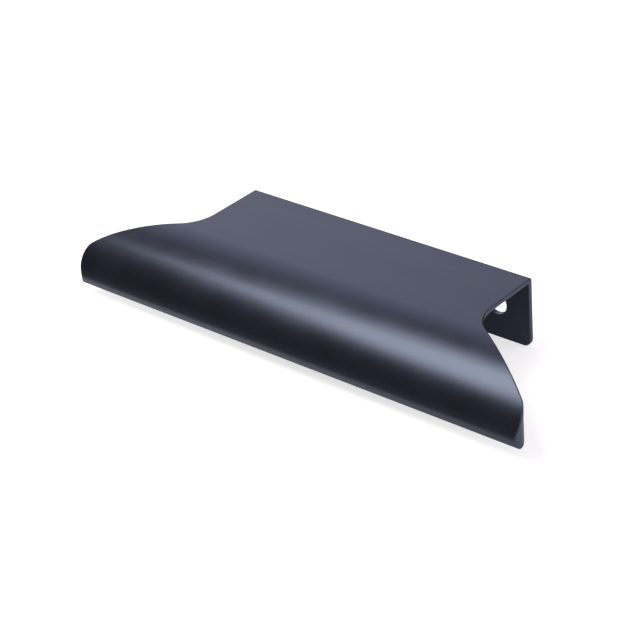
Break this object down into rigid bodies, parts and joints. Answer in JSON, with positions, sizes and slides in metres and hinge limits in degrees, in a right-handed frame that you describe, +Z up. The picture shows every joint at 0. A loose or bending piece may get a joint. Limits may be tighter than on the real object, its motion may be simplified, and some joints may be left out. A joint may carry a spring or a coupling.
{
  "type": "cabinet edge pull",
  "caption": "One-piece aluminium edge pull: screwed flange, flat top over the door's edge and a rolled nose, with curved ends.",
  "frame": {"origin": "on the flange's inner face, which bears on the back of the door, midway between the two screw holes", "axes": "+X along the door's edge, +Z up, -Y towards the room and the fingers"},
  "size_m": [0.1302, 0.0404, 0.018],
  "materials": {
    "anodised": "satin black anodised"
  },
  "bodies": {
    "root": {"pull": "anodised"}
  },
  "joints": []
}
